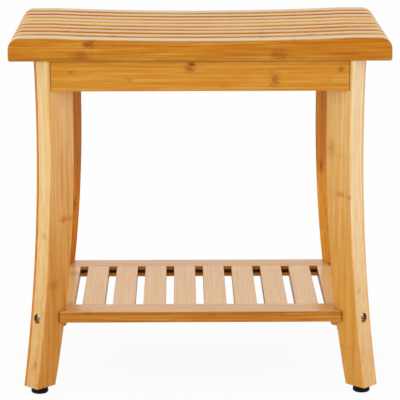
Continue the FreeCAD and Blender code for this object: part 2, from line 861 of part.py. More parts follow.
def shelf_slat(index):
    """Cross slat with a tongue at each end; the outer slats are wider and tongued on their inner part."""
    label = f"shelf_slat_{index + 1}"
    body = new_body(label)
    if index == 0:
        left, right = f"-{SHELF_HALF_LENGTH}", f"(shelf_end_slat_width - {SHELF_HALF_LENGTH})"
        tongue = (f"-{TONGUE_END}", f"{right} - tongue_shoulder")
    elif index == SHELF_SLATS - 1:
        left, right = f"({SHELF_HALF_LENGTH} - shelf_end_slat_width)", SHELF_HALF_LENGTH
        tongue = (f"{left} + tongue_shoulder", TONGUE_END)
    else:
        first = f"(shelf_end_slat_width + {SHELF_GAP} - {SHELF_HALF_LENGTH})"
        left = f"({first} + {index - 1} * (shelf_slat_width + {SHELF_GAP}))"
        right = f"({left} + shelf_slat_width)"
        tongue = (f"{left} + tongue_shoulder", f"{right} - tongue_shoulder")
    board = pad(
        body,
        f"{label}_board",
        "XY_Plane",
        rectangle(left, f"-{SHELF_SPAN}", right, SHELF_SPAN),
        "shelf_slat_thickness",
        offset="shelf_top - shelf_slat_thickness",
    )
    round_edges(
        body,
        f"{label}_edges",
        board,
        lambda edge: lies_at(edge, "Z", mm("shelf_top")) and edge.BoundBox.YLength > TOLERANCE,
        "shelf_slat_edge_radius",
    )
    reach = f"({SHELF_SPAN} + {TONGUE_LENGTH})"
    pad(
        body,
        f"{label}_tongue",
        "XY_Plane",
        rectangle(tongue[0], f"-{reach}", tongue[1], reach),
        "groove_width - 2 * tongue_clearance",
        offset=f"{SHELF_MIDDLE} - groove_width / 2 + tongue_clearance",
    )
    if index == 0:
        keep(cut(label, body, corner_cuts(label, ("front_left", "rear_left"))), label)
    elif index == SHELF_SLATS - 1:
        keep(cut(label, body, corner_cuts(label, ("front_right", "rear_right"))), label)
    else:
        keep(body, label)


def shelf_fasteners():
    """Bolts through the legs and the inserts that they screw into."""
    bolts = []
    inserts = []
    for name in CORNERS:
        frame = corner_frame(name)
        inward = frame.Rotation.multVec(Vector(-1, 0, 0))
        seat = frame.multVec(Vector(mm(BOLT_SEAT), 0, mm(SHELF_MIDDLE)))
        length = f"{BOLT_SEAT} - {leg_inner('shelf_top')} + shelf_insert_length"
        bolts.append(bolt(f"shelf_bolt_{name}", length, seat, inward))
        inserts.append(
            ring(
                f"shelf_insert_{name}",
                "shelf_insert_radius",
                "bolt_radius + thread_clearance",
                "shelf_insert_length",
                shelf_insert_start(frame),
                inward,
            )
        )
    keep_group("shelf_bolts", bolts)
    keep_group("shelf_inserts", inserts)


def build():
    """Make every sub-part."""
    for index in range(SEAT_SLATS):
        seat_slat(index)
    for name, side in BATTENS.items():
        seat_batten(name, side)
    seat_fasteners()
    aprons()
    for name in CORNERS:
        corner_block(name)
    corner_fasteners()
    for name in CORNERS:
        leg(name)
        foot_pad(name)
        foot_stud(name)
    foot_inserts()
    shelf_rail("shelf_rail_front", 0, ("front_left", "front_right"))
    shelf_rail("shelf_rail_rear", 180, ("rear_left", "rear_right"))
    for index in range(SHELF_SLATS):
        shelf_slat(index)
    shelf_fasteners()
    doc.recompute()


def check():
    """Stop if any object failed or any sub-part is not a sound solid."""
    for item in doc.Objects:
        if {"Invalid", "Error"} & set(item.State):
            raise RuntimeError(f"{item.Label} failed: {item.State}")
    for item in SUBPARTS:
        if item.Shape.isNull() or not item.Shape.isValid() or not item.Shape.Solids:
            raise RuntimeError(f"{item.Label} is not a sound solid")


def write():
    """Write each sub-part to a file of its own."""
    os.makedirs("parts", exist_ok=True)
    for item in SUBPARTS:
        item.Shape.exportStep(f"parts/{item.Label}.step")
    print(len(SUBPARTS), "sub-parts written")


build()
check()
write()
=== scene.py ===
"""Dresses the bamboo shower bench: materials, floor, light and camera."""

import math

import bpy
from mathutils import Matrix, Vector


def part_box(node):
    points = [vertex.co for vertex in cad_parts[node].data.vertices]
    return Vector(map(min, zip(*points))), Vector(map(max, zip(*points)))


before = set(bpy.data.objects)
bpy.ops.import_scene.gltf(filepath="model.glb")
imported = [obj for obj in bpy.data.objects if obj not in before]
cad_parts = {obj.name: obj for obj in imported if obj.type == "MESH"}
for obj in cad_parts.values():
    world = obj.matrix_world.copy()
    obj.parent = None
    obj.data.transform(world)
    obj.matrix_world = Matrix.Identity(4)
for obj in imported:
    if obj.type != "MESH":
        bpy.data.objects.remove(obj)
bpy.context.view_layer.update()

# Places of the pieces, in metres. In a frame turned by an eighth, LEG_MIDDLE is the middle of a leg's board,
# across the diagonal, and LEG_CORNER the corner of the aprons, along it.
APRON_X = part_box("apron_right")[1][0]
APRON_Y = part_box("apron_rear")[1][1]
APRON_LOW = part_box("apron_rear")[0][2]
APRON_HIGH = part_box("apron_rear")[1][2]
SLAT_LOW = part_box("seat_slat_1")[0][2]
LEG_MIDDLE = (APRON_X - APRON_Y) / math.sqrt(2)
LEG_CORNER = (APRON_X + APRON_Y) / math.sqrt(2)
LEG_HALF = 0.014
EIGHTH_TURN = math.pi / 4
RAIL_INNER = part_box("shelf_rail_rear")[0][1]
RAIL_END = APRON_X - APRON_Y - math.sqrt(2) * LEG_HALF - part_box("shelf_rail_front")[0][1]
BOLT_HEIGHT = (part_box("shelf_rail_front")[0][2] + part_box("shelf_rail_front")[1][2]) / 2


# Node helpers: the Mix node's sockets for colours, and the detail of the noises

MIX_AMOUNT = 0
MIX_FIRST = 6
MIX_SECOND = 7
MIX_RESULT = 2
BROAD_DETAIL = 2.0
FINE_DETAIL = 3.0


def colour(red, green, blue):
    """Turns a colour of a picture, 0 to 255, into a shader's linear colour, by the sRGB curve."""
    linear = []
    for level in (red, green, blue):
        share = level / 255
        linear.append(share / 12.92 if share <= 0.04045 else ((share + 0.055) / 1.055) ** 2.4)
    return (*linear, 1.0)


def fill(tree, socket, value):
    """Joins another node's output to an input, or sets the input's own value."""
    if isinstance(value, bpy.types.NodeSocket):
        tree.links.new(value, socket)
    else:
        socket.default_value = value


def add(tree, kind, inputs=None, **settings):
    """Adds a node, sets its options and fills its inputs."""
    node = tree.nodes.new(kind)
    for name, value in settings.items():
        setattr(node, name, value)
    for key, value in (inputs or {}).items():
        fill(tree, node.inputs[key], value)
    return node


def calc(tree, operation, first, second=0.0):
    """One step of arithmetic."""
    return add(tree, "ShaderNodeMath", {0: first, 1: second}, operation=operation).outputs[0]


def less(tree, value):
    """What is left of 1 after a value."""
    return calc(tree, "SUBTRACT", 1.0, value)


def rise(tree, value, start, end):
    """Goes smoothly from 0 at the start value to 1 at the end one."""
    inputs = {"Value": value, "From Min": start, "From Max": end}
    return add(tree, "ShaderNodeMapRange", inputs, interpolation_type="SMOOTHSTEP").outputs["Result"]


def inside(tree, value, low, high, edge):
    """1 between two limits, with an edge of a given half width at both."""
    over = rise(tree, value, low - edge, low + edge)
    return calc(tree, "MULTIPLY", over, less(tree, rise(tree, value, high - edge, high + edge)))


def fit(tree, value, low, high):
    """Stretches a value from 0..1 to low..high."""
    inputs = {"Value": value, "To Min": low, "To Max": high}
    return add(tree, "ShaderNodeMapRange", inputs).outputs["Result"]


def mix(tree, amount, first, second, blend="MIX"):
    """Mixes two colours."""
    node = add(tree, "ShaderNodeMix", data_type="RGBA", blend_type=blend)
    fill(tree, node.inputs[MIX_AMOUNT], amount)
    fill(tree, node.inputs[MIX_FIRST], first)
    fill(tree, node.inputs[MIX_SECOND], second)
    return node.outputs[MIX_RESULT]


def tones(tree, value, stops):
    """Colour ramp from a list of places and colours."""
    node = add(tree, "ShaderNodeValToRGB", {0: value})
    elements = node.color_ramp.elements
    while len(elements) < len(stops):
        elements.new(0.5)
    for element, (place, shade) in zip(elements, stops):
        element.position = place
        element.color = shade
    return node.outputs[0]


def vector(tree, operation, first, second=(0.0, 0.0, 0.0)):
    """One step of vector arithmetic."""
    return add(tree, "ShaderNodeVectorMath", {0: first, 1: second}, operation=operation).outputs[0]


def split(tree, value):
    """The three parts of a vector, by axis letter."""
    node = add(tree, "ShaderNodeSeparateXYZ", {0: value})
    return {axis: node.outputs[axis] for axis in "XYZ"}


def turned(tree, value, angle):
    """A place or a direction, turned about the vertical."""
    if not angle:
        return value
    return add(tree, "ShaderNodeMapping", {"Vector": value, "Rotation": (0.0, 0.0, angle)}).outputs[0]


def noise(tree, place, scale, detail=BROAD_DETAIL):
    """Cloudy noise between 0 and 1."""
    inputs = {"Vector": place, "Scale": scale, "Detail": detail}
    return add(tree, "ShaderNodeTexNoise", inputs).outputs[0]


def stretched_noise(tree, place, scales, detail=BROAD_DETAIL):
    """Cloudy noise with a scale of its own along each axis."""
    return noise(tree, vector(tree, "MULTIPLY", place, scales), 1.0, detail)


def bump(tree, height, strength, distance):
    """Direction of a surface that a pattern raises."""
    inputs = {"Height": height, "Strength": strength, "Distance": distance}
    return add(tree, "ShaderNodeBump", inputs).outputs[0]


def new_material(name):
    """Empty node material with its shader and output."""
    material = bpy.data.materials.new(name)
    material.use_nodes = True
    tree = material.node_tree
    tree.nodes.clear()
    shader = add(tree, "ShaderNodeBsdfPrincipled")
    output = add(tree, "ShaderNodeOutputMaterial")
    tree.links.new(shader.outputs[0], output.inputs["Surface"])
    return material, tree, shader


def paint(tree, shader, shade, rough, relief=None):
    """Joins the colour, the roughness and the relief of a surface to its shader."""
    fill(tree, shader.inputs["Base Color"], shade)
    fill(tree, shader.inputs["Roughness"], rough)
    if relief is not None:
        fill(tree, shader.inputs["Normal"], relief)


# Bamboo in general: sizes in metres, shares from 0 to 1

NODE_TINT = (0.34, 0.15, 0.03, 1.0)
LEG_NODE_TINT = (0.66, 0.42, 0.17, 1.0)
SEAM_TINT = (0.62, 0.46, 0.30, 1.0)
# Tint of the painted shade in the dark bands: grooves, bolt holes, seams and under the seat
SHADE_TINT = (0.12, 0.08, 0.06, 1.0)
RAMP_PLACES = (0.1, 0.5, 0.9)

SEAM_HALF_WIDTH = 0.0004
SEAM_SHARE = 0.3
NODE_SPACING = 0.26
NODE_HALF_WIDTH = 0.007
NODE_SHARE = 0.45
NODE_CHANCE = (0.7, 0.95)
NODE_RAGGED = (0.35, 0.65)
KNOT_RAGGED = 1.5
KNOT_CORE = (0.25, 0.95)
KNOT_HALO = (0.3, 1.4)
KNOT_HALO_SHARE = 0.4

# How fine each pattern is along and across the grain, per metre, and how much it changes the tone
GRAIN_SCALES = {"cloud": (30, 70), "band": (7, 190), "line": (12, 620), "fibre": (40, 1500)}
RAGGED_SCALES = (260, 620)
MIDDLE_TONE = 0.5
TONE_WEIGHTS = {"strip": 0.16, "cloud": 0.3, "band": 0.8, "line": 1.15, "fibre": 0.5}

# How far a face turns towards an axis, where its colour begins to change and where the change is complete
OUTWARD = (0.2, 0.5)
INWARD = (-0.35, -0.7)
ASIDE = (0.5, 0.95)
CUT_END = (0.6, 0.95)

# Soft edges in metres, and the surface
ARRIS_EDGE = 0.0012
BAND_EDGE = 0.0002
BAMBOO_SHINE = 0.2
BAMBOO_ROUGHNESS = (0.32, 0.46)
POLISH = 0.19
FIBRE_RELIEF = 0.5
NODE_RELIEF = 0.8
BAMBOO_BUMP = (0.15, 0.0004)


def face(dark, middle, light, fade=None):
    """Look of one kind of face: dark, middle and light tone, and a tint that comes in between two heights."""
    stops = list(zip(RAMP_PLACES, (colour(*dark), colour(*middle), colour(*light))))
    return stops, fade


END_FACE = face((166, 106, 46), (188, 130, 66), (204, 154, 92))


def face_colour(tree, level, height, look):
    """Colour of one kind of face."""
    stops, fade = look
    shade = tones(tree, level, stops)
    if fade:
        tint, start, end = fade
        shade = mix(tree, rise(tree, height, start, end), shade, tint, "MULTIPLY")
    return shade


def along_grain(axis, along, across):
    """Scales for a noise that is stretched along the grain axis."""
    return [along if letter == axis else across for letter in "XYZ"]


def glued_strips(tree, part, glue, seed):
    """Random value and vector of each glued strip, and a line of 1 along the seams between strips."""
    cells = []
    seam = 0.0
    for axis, size, start in glue:
        step = calc(tree, "DIVIDE", calc(tree, "SUBTRACT", part[axis], start), size)
        cells.append(calc(tree, "FLOOR", step))
        gap = calc(tree, "PINGPONG", step, 0.5)
        line = less(tree, rise(tree, gap, 0.0, SEAM_HALF_WIDTH / size))
        seam = calc(tree, "MAXIMUM", seam, line)
    cell = add(tree, "ShaderNodeCombineXYZ", {0: cells[0], 1: cells[1], 2: seed}).outputs[0]
    chance = add(tree, "ShaderNodeTexWhiteNoise", {"Vector": cell}, noise_dimensions="3D")
    return chance.outputs["Value"], chance.outputs["Color"], seam


def grain_patterns(tree, place, grain, tone, chance):
    """The strip's own tone, and noises along the grain from broad to fine, moved from strip to strip."""
    moved = vector(tree, "ADD", place, chance)
    patterns = {"strip": tone}
    for name, scales in GRAIN_SCALES.items():
        patterns[name] = stretched_noise(tree, moved, along_grain(grain, *scales))
    return patterns


def tone_level(tree, patterns, contrast):
    """Place on the ramps of the faces, from all the patterns of the grain."""
    level = MIDDLE_TONE
    for name, weight in TONE_WEIGHTS.items():
        half = weight * contrast / 2
        level = calc(tree, "ADD", level, fit(tree, patterns[name], -half, half))
    return level


def cane_nodes(tree, along, chance, ragged):
    """Soft smudges at the nodes of the cane, on a few of the strips."""
    shift = split(tree, chance)
    bend = fit(tree, ragged, -NODE_HALF_WIDTH, NODE_HALF_WIDTH)
    step = calc(tree, "DIVIDE", calc(tree, "ADD", along, bend), NODE_SPACING)
    step = calc(tree, "FRACT", calc(tree, "ADD", step, shift["X"]))
    gap = calc(tree, "ABSOLUTE", calc(tree, "SUBTRACT", step, 0.5))
    gap = calc(tree, "MULTIPLY", gap, NODE_SPACING)
    smudge = less(tree, rise(tree, gap, 0.0, NODE_HALF_WIDTH))
    smudge = calc(tree, "MULTIPLY", smudge, rise(tree, ragged, *NODE_RAGGED))
    share = calc(tree, "MULTIPLY", rise(tree, shift["Y"], *NODE_CHANCE), NODE_SHARE)
    return calc(tree, "MULTIPLY", smudge, share)


def knots(tree, place, ragged, marks):
    """Dark scaly marks in a soft halo: each has its centre, its reach along the axes and its strength."""
    total = 0.0
    for centre, reach, strength in marks:
        offset = vector(tree, "DIVIDE", vector(tree, "SUBTRACT", place, centre), reach)
        length = add(tree, "ShaderNodeVectorMath", {0: offset}, operation="LENGTH").outputs["Value"]
        edge = calc(tree, "ADD", length, fit(tree, ragged, -KNOT_RAGGED, KNOT_RAGGED))
        halo = calc(tree, "MULTIPLY", less(tree, rise(tree, length, *KNOT_HALO)), KNOT_HALO_SHARE)
        mark = calc(tree, "MAXIMUM", less(tree, rise(tree, edge, *KNOT_CORE)), halo)
        total = calc(tree, "MAXIMUM", total, calc(tree, "MULTIPLY", mark, strength))
    return total


def darker_bands(tree, part, shade, bands):
    """Colour with bands of painted shade, each with its share of the shade tint and its limits along axes."""
    for share, limits in bands:
        for axis, low, high in limits:
            within = inside(tree, calc(tree, "ABSOLUTE", part[axis]), low, high, BAND_EDGE)
            share = calc(tree, "MULTIPLY", share, within)
        shade = mix(tree, share, shade, SHADE_TINT, "MULTIPLY")
    return shade


def bamboo(name, grain, glue, deep, pale=None, inner=None, arris=None, outer=None, side=None, spread=OUTWARD,
           turn=0.0, seed=0.0, contrast=1.0, lift=0.0, marks=(), mark_tint=NODE_TINT, bands=()):
    """Laminated bamboo: glued strips of differing tone, fine fibres and the dark nodes of the cane.

    grain is the axis of the fibres, and glue the axis, size and start of the two ways in which it is glued.
    deep is the look of most faces, and lift makes it lighter. Faces that look outward along the outer axis
    have the pale look, up to where they turn to the side axis, and those that look inward have the inner one.
    arris is the place along the side axis at which the outer arris begins, and its look. Only a piece with a
    pale look can have an inner look or an arris. turn is how far the piece's own axes are turned. The bands
    are painted shade, with the same limits on both sides of the middle of the bench.
    """
    material, tree, shader = new_material(name)
    source = add(tree, "ShaderNodeTexCoord")
    place = turned(tree, source.outputs["Object"], turn)
    part = split(tree, place)
    normal = split(tree, turned(tree, source.outputs["Normal"], turn))
    height = part["Z"]

    # Strips, fibres and the nodes of the cane
    tone, chance, seam = glued_strips(tree, part, glue, seed)
    patterns = grain_patterns(tree, place, grain, tone, chance)
    level = tone_level(tree, patterns, contrast)
    ragged = stretched_noise(tree, place, along_grain(grain, *RAGGED_SCALES), FINE_DETAIL)
    dark = calc(tree, "MAXIMUM", cane_nodes(tree, part[grain], chance, ragged),
                knots(tree, source.outputs["Object"], ragged, marks))

    # Colour of the faces; the pale ones are also rubbed smoother, and on the seat's tops their paleness is
    # partly painted sheen
    shade = face_colour(tree, calc(tree, "ADD", level, lift), height, deep)
    rough = fit(tree, patterns["fibre"], *BAMBOO_ROUGHNESS)
    if pale:
        look = calc(tree, "MULTIPLY", normal[outer], calc(tree, "SIGN", part[outer]))
        outward = rise(tree, look, *spread)
        aside = rise(tree, calc(tree, "ABSOLUTE", normal[side]), *ASIDE)
        pale_share = calc(tree, "MULTIPLY", outward, less(tree, aside))
        shade = mix(tree, pale_share, shade, face_colour(tree, level, height, pale))
        rough = calc(tree, "SUBTRACT", rough, calc(tree, "MULTIPLY", pale_share, POLISH))
    if arris:
        start, arris_look = arris
        rim = rise(tree, calc(tree, "ABSOLUTE", part[side]), start, start + ARRIS_EDGE)
        rim = calc(tree, "MULTIPLY", outward, rim)
        shade = mix(tree, rim, shade, face_colour(tree, level, height, arris_look))
    if inner:
        shade = mix(tree, rise(tree, look, *INWARD), shade, face_colour(tree, level, height, inner))
    cut = rise(tree, calc(tree, "ABSOLUTE", normal[grain]), *CUT_END)
    shade = mix(tree, cut, shade, face_colour(tree, level, height, END_FACE))

    # Painted shade in bands, then nodes and glue lines
    shade = darker_bands(tree, part, shade, bands)
    shade = mix(tree, dark, shade, mark_tint, "MULTIPLY")
    shade = mix(tree, calc(tree, "MULTIPLY", seam, SEAM_SHARE), shade, SEAM_TINT, "MULTIPLY")

    # Surface
    relief = calc(tree, "SUBTRACT", calc(tree, "MULTIPLY", patterns["fibre"], FIBRE_RELIEF), seam)
    relief = calc(tree, "ADD", relief, calc(tree, "MULTIPLY", dark, NODE_RELIEF))
    shader.inputs["Specular IOR Level"].default_value = BAMBOO_SHINE
    paint(tree, shader, shade, rough, bump(tree, relief, *BAMBOO_BUMP))
    return material


# Seat slats

LAYER = 0.00625
SEAT_LAYER_START = 0.450
SLAT_PITCH = 0.032
SEAT_GLUE = ("Z", LAYER, SEAT_LAYER_START), ("Y", SLAT_PITCH, -SLAT_PITCH / 2)

# Painted light: the faces of the slats behind the front one are lighter, for the shade of the gaps between
# slats. The tops are paler than the faces, partly their own tone and partly painted sheen, the front slat's
# top the most.
FRONT_SLAT_FACE = face((176, 94, 0), (198, 125, 10), (222, 162, 60))
FRONT_SLAT_TOP = face((188, 151, 100), (205, 171, 123), (216, 189, 147))
SLAT_FACE = face((198, 108, 6), (219, 142, 18), (236, 182, 82))
SLAT_TOP = face((181, 134, 59), (198, 154, 80), (209, 172, 104))
SLAT_SPREAD = (0.0, 0.8)
SLAT_LIFTS = {
    "seat_slat_2": 0.05,
    "seat_slat_3": -0.15,
    "seat_slat_4": 0.15,
    "seat_slat_5": -0.05,
    "seat_slat_6": 0.4,
    "seat_slat_7": 0.05,
    "seat_slat_8": -0.35,
    "seat_slat_9": 0.0,
}

FRONT_SLAT_MARKS = [
    ((-0.144, -0.144, 0.4725), (0.010, 0.014, 0.006), 0.75),
    ((-0.155, -0.144, 0.4575), (0.014, 0.014, 0.008), 0.4),
    ((0.1025, -0.144, 0.4575), (0.012, 0.014, 0.009), 0.45),
]

# Soft shade where the front slat lies on its apron
SHADE_SHARE = 0.1
SLAT_SHADES = (0.0030, 0.0055)
SLAT_FOOT = [(SHADE_SHARE, [("Z", SLAT_LOW, SLAT_LOW + height)]) for height in SLAT_SHADES]


def seat_bamboos():
    """Bamboo of each seat slat. The front one has its own tones, marks and shade."""
    look = {"outer": "Z", "side": "Y", "spread": SLAT_SPREAD, "seed": 3.0}
    looks = {}
    for node, lift in SLAT_LIFTS.items():
        looks[node] = bamboo("bamboo_" + node, "X", SEAT_GLUE, SLAT_FACE, SLAT_TOP, lift=lift, **look)
    looks["seat_slat_1"] = bamboo("bamboo_seat_slat_1", "X", SEAT_GLUE, FRONT_SLAT_FACE, FRONT_SLAT_TOP,
                                  marks=FRONT_SLAT_MARKS, bands=SLAT_FOOT, **look)
    return looks


# Aprons, and the battens and blocks behind them

APRON_LAYER = 0.0057
APRON_LAYER_START = 0.410
BOARD = 0.05
BLOCK_STRIP = 0.02
APRON_GLUE = ("Z", APRON_LAYER, APRON_LAYER_START), ("Y", BOARD, 0.0)
APRON_SIDE_GLUE = ("Z", APRON_LAYER, APRON_LAYER_START), ("X", BOARD, 0.0)
BATTEN_GLUE = ("X", LAYER, 0.0), ("Z", BOARD, 0.0)
BLOCK_GLUE = ("X", LAYER, 0.0), ("Y", BLOCK_STRIP, 0.0)

APRON_FACE = face((184, 106, 8), (199, 131, 30), (218, 162, 78))
APRON_CONTRAST = 0.75
INNER_FACE = face((176, 110, 44), (198, 140, 70), (214, 166, 98))

APRON_MARKS = [
    ((-0.0120, -0.141, 0.4462), (0.0065, 0.012, 0.0048), 1.0),
    ((-0.0140, -0.141, 0.4400), (0.0075, 0.012, 0.0070), 0.65),
    ((0.0978, -0.141, 0.4250), (0.0075, 0.012, 0.0125), 0.5),
    ((0.1838, -0.141, 0.439), (0.005, 0.012, 0.0045), 0.6),
]

# Painted shade under the seat's slats: a dark line along the upper arris of an apron, and a soft shade below
# it
APRON_ARRIS = 0.0013
APRON_ARRIS_SHADE_SHARE = 0.25
APRON_SHADES = (0.0022, 0.0042)
APRON_TOP_SHADE = [(APRON_ARRIS_SHADE_SHARE, [("Z", APRON_HIGH - APRON_ARRIS, APRON_HIGH + APRON_ARRIS)])]
APRON_TOP_SHADE += [(SHADE_SHARE, [("Z", APRON_HIGH - depth, APRON_HIGH)]) for depth in APRON_SHADES]


def apron_bamboos():
    """Bamboo of the long and the short aprons, the battens and the corner blocks."""
    look = {"contrast": APRON_CONTRAST, "bands": APRON_TOP_SHADE}
    return {
        "apron": bamboo("bamboo_apron", "X", APRON_GLUE, APRON_FACE, seed=5.0, marks=APRON_MARKS, **look),
        "apron_side": bamboo("bamboo_apron_side", "Y", APRON_SIDE_GLUE, APRON_FACE, seed=6.0, **look),
        "batten": bamboo("bamboo_batten", "Y", BATTEN_GLUE, INNER_FACE, seed=9.0),
        "block": bamboo("bamboo_block", "Z", BLOCK_GLUE, INNER_FACE, turn=EIGHTH_TURN, seed=10.0),
    }


# Shelf

RAIL_LAYER = 0.0052
RAIL_LAYER_START = 0.0948
RAIL_STRIP = 0.0127
SHELF_STRIP = 0.0061
RAIL_GLUE = ("Z", RAIL_LAYER, RAIL_LAYER_START), ("Y", RAIL_STRIP, 0.0)
SHELF_GLUE = ("X", SHELF_STRIP, 0.0), ("Z", BOARD, 0.0)

RAIL_FACE = face((159, 83, 5), (182, 112, 22), (207, 149, 64))
RAIL_TOP = face((203, 148, 85), (218, 171, 112), (228, 188, 140))
SHELF_TOP = face((218, 166, 104), (232, 188, 130), (240, 204, 158))
RAIL_CONTRAST = 0.85
SHELF_CONTRAST = 0.5

RAIL_MARKS = [((0.015, -0.128, 0.106), (0.011, 0.012, 0.004), 0.7)]
SHELF_MARKS = [
    ((-0.178, 0.061, 0.110), (0.014, 0.016, 0.01), 0.45),
    ((-0.180, -0.095, 0.110), (0.010, 0.012, 0.01), 0.4),
]

# Painted shade in the groove along the rails, and where a rail goes into a leg
GROOVE_DEPTH = 0.0046
GROOVE_LOW = 0.1000
GROOVE_HIGH = 0.1050
GROOVE_SHADE_SHARE = 1.0
RAIL_END_SHADE = 0.0040
RAIL_END_SHARE = 0.6
RAIL_SHADE_BANDS = [
    (GROOVE_SHADE_SHARE, [("Y", RAIL_INNER, RAIL_INNER + GROOVE_DEPTH), ("Z", GROOVE_LOW, GROOVE_HIGH)]),
    (RAIL_END_SHARE, [("X", RAIL_END - RAIL_END_SHADE, RAIL_END + RAIL_END_SHADE)]),
]


def shelf_bamboos():
    """Bamboo of the shelf's rails and slats."""
    return {
        "rail": bamboo("bamboo_rail", "X", RAIL_GLUE, RAIL_FACE, RAIL_TOP, outer="Z", side="Y", seed=7.0,
                       contrast=RAIL_CONTRAST, marks=RAIL_MARKS, bands=RAIL_SHADE_BANDS),
        "shelf": bamboo("bamboo_shelf", "Y", SHELF_GLUE, RAIL_FACE, SHELF_TOP, outer="Z", side="X", seed=8.0,
                        contrast=SHELF_CONTRAST, marks=SHELF_MARKS, mark_tint=LEG_NODE_TINT),
    }


# Legs

# Layers between the middles of the two boards on one diagonal, a whole number so that both are glued alike
LAYERS_BETWEEN = 11
LEG_LAYER = 2 * LEG_MIDDLE / LAYERS_BETWEEN
LEG_BOARD = 0.5
LEG_GLUE = ("Y", LEG_LAYER, LEG_MIDDLE - LEG_LAYER / 2), ("X", LEG_BOARD, 0.0)

# Tint of a leg's faces, and the heights between which it comes in
LEFT_FACE_FADE = ((0.82, 0.60, 0.27, 1.0), 0.40, 0.08)
RIGHT_FACE_FADE = ((0.88, 0.69, 0.33, 1.0), 0.40, 0.10)
LEG_EDGE_FADE = ((0.86, 0.71, 0.52, 1.0), 0.30, 0.0)
REAR_LEFT_FADE = ((1.21, 1.19, 0.44, 1.0), 0.27, 0.20)
REAR_RIGHT_FADE = ((0.77, 0.64, 0.63, 1.0), 0.235, 0.275)

LEFT_FACE = face((202, 142, 72), (222, 172, 106), (236, 198, 148), LEFT_FACE_FADE)
RIGHT_FACE = face((206, 149, 73), (226, 179, 107), (239, 204, 149), RIGHT_FACE_FADE)
LEFT_EDGE = face((217, 164, 81), (230, 193, 127), (242, 217, 176), LEG_EDGE_FADE)
RIGHT_EDGE = face((222, 178, 110), (235, 203, 154), (246, 224, 194), LEG_EDGE_FADE)
# Inner faces, seen on the rear legs: their own deeper tone with painted shade from the seat and the front
# legs, darker on the rear left leg and darker towards the seat.
REAR_LEFT_INNER = face((167, 90, 21), (192, 118, 42), (209, 147, 73), REAR_LEFT_FADE)
REAR_RIGHT_INNER = face((203, 127, 28), (229, 160, 51), (240, 186, 90), REAR_RIGHT_FADE)
LEFT_ARRIS_START = LEG_MIDDLE + 0.0073
RIGHT_ARRIS_START = LEG_MIDDLE + 0.0086
LEFT_ARRIS = LEFT_ARRIS_START, face((176, 94, 14), (202, 121, 28), (218, 150, 60))
RIGHT_ARRIS = RIGHT_ARRIS_START, face((212, 148, 76), (224, 168, 96), (234, 188, 124))
LEG_CONTRAST = 0.8

LEFT_LEG_MARKS = [
    ((-0.181, -0.1265, 0.2355), (0.008, 0.02, 0.006), 0.7),
    ((-0.173, -0.1185, 0.2350), (0.005, 0.02, 0.004), 0.55),
    ((-0.196, -0.142, 0.148), (0.010, 0.02, 0.009), 0.4),
    ((-0.207, -0.140, 0.215), (0.005, 0.02, 0.006), 0.4),
    ((-0.221, -0.154, 0.040), (0.0025, 0.02, 0.007), 0.8),
    ((0.176, 0.106, 0.257), (0.004, 0.03, 0.013), 1.0),
]
RIGHT_LEG_MARKS = [
    ((0.174, -0.1195, 0.330), (0.007, 0.02, 0.016), 0.55),
    ((0.186, -0.131, 0.269), (0.006, 0.02, 0.005), 0.7),
    ((0.1965, -0.142, 0.2665), (0.004, 0.02, 0.004), 0.6),
    ((0.211, -0.145, 0.140), (0.004, 0.02, 0.006), 0.4),
    ((-0.179, 0.110, 0.200), (0.004, 0.03, 0.010), 0.7),
]

# Painted shade on the legs in the seams beside the aprons' ends, and on the upper walls of the hole for the
# shelf bolt's head
LEG_JOINT_SHADE = [("X", 0.0, LEG_CORNER - LEG_HALF), ("Z", APRON_LOW, APRON_HIGH)]
LEFT_JOINT_SHADE_SHARE = 0.45
RIGHT_JOINT_SHADE_SHARE = 0.7
RECESS_RADIUS = 0.0067
RECESS_FLOOR = LEG_CORNER - 0.006
RECESS_MOUTH = LEG_CORNER + 0.003
RECESS_SHADE_LOW = BOLT_HEIGHT - 0.0040
RECESS_WALL_SHADE_SHARE = 0.8
RECESS_WALL_SHADE = RECESS_WALL_SHADE_SHARE, [
    ("X", RECESS_FLOOR, RECESS_MOUTH),
    ("Y", LEG_MIDDLE - RECESS_RADIUS, LEG_MIDDLE + RECESS_RADIUS),
    ("Z", RECESS_SHADE_LOW, BOLT_HEIGHT + RECESS_RADIUS),
]


def leg_bamboos():
    """Bamboo of the legs on each diagonal. One of the two stands in front and shows its outer faces."""
    look = {"outer": "X", "side": "Y", "contrast": LEG_CONTRAST, "mark_tint": LEG_NODE_TINT}
    return {
        "leg_rising": bamboo("bamboo_leg_rising", "Z", LEG_GLUE, LEFT_FACE, LEFT_EDGE, REAR_RIGHT_INNER,
                             LEFT_ARRIS, turn=-EIGHTH_TURN, seed=11.0, marks=LEFT_LEG_MARKS,
                             bands=[(LEFT_JOINT_SHADE_SHARE, LEG_JOINT_SHADE), RECESS_WALL_SHADE], **look),
        "leg_falling": bamboo("bamboo_leg_falling", "Z", LEG_GLUE, RIGHT_FACE, RIGHT_EDGE, REAR_LEFT_INNER,
                              RIGHT_ARRIS, turn=EIGHTH_TURN, seed=12.0, marks=RIGHT_LEG_MARKS,
                              bands=[(RIGHT_JOINT_SHADE_SHARE, LEG_JOINT_SHADE), RECESS_WALL_SHADE], **look),
    }


# Dowels

PORE_SCALES = (900, 60, 900)
DOWEL_STOPS = [(0.2, colour(196, 158, 108)), (0.8, colour(226, 196, 150))]
DOWEL_ROUGHNESS = (0.5, 0.7)


def dowel_wood():
    """Plain turned wood with long pores."""
    material, tree, shader = new_material("dowel_wood")
    place = add(tree, "ShaderNodeTexCoord").outputs["Object"]
    pores = stretched_noise(tree, place, PORE_SCALES, FINE_DETAIL)
    paint(tree, shader, tones(tree, pores, DOWEL_STOPS), fit(tree, pores, *DOWEL_ROUGHNESS))
    return material


# Feet

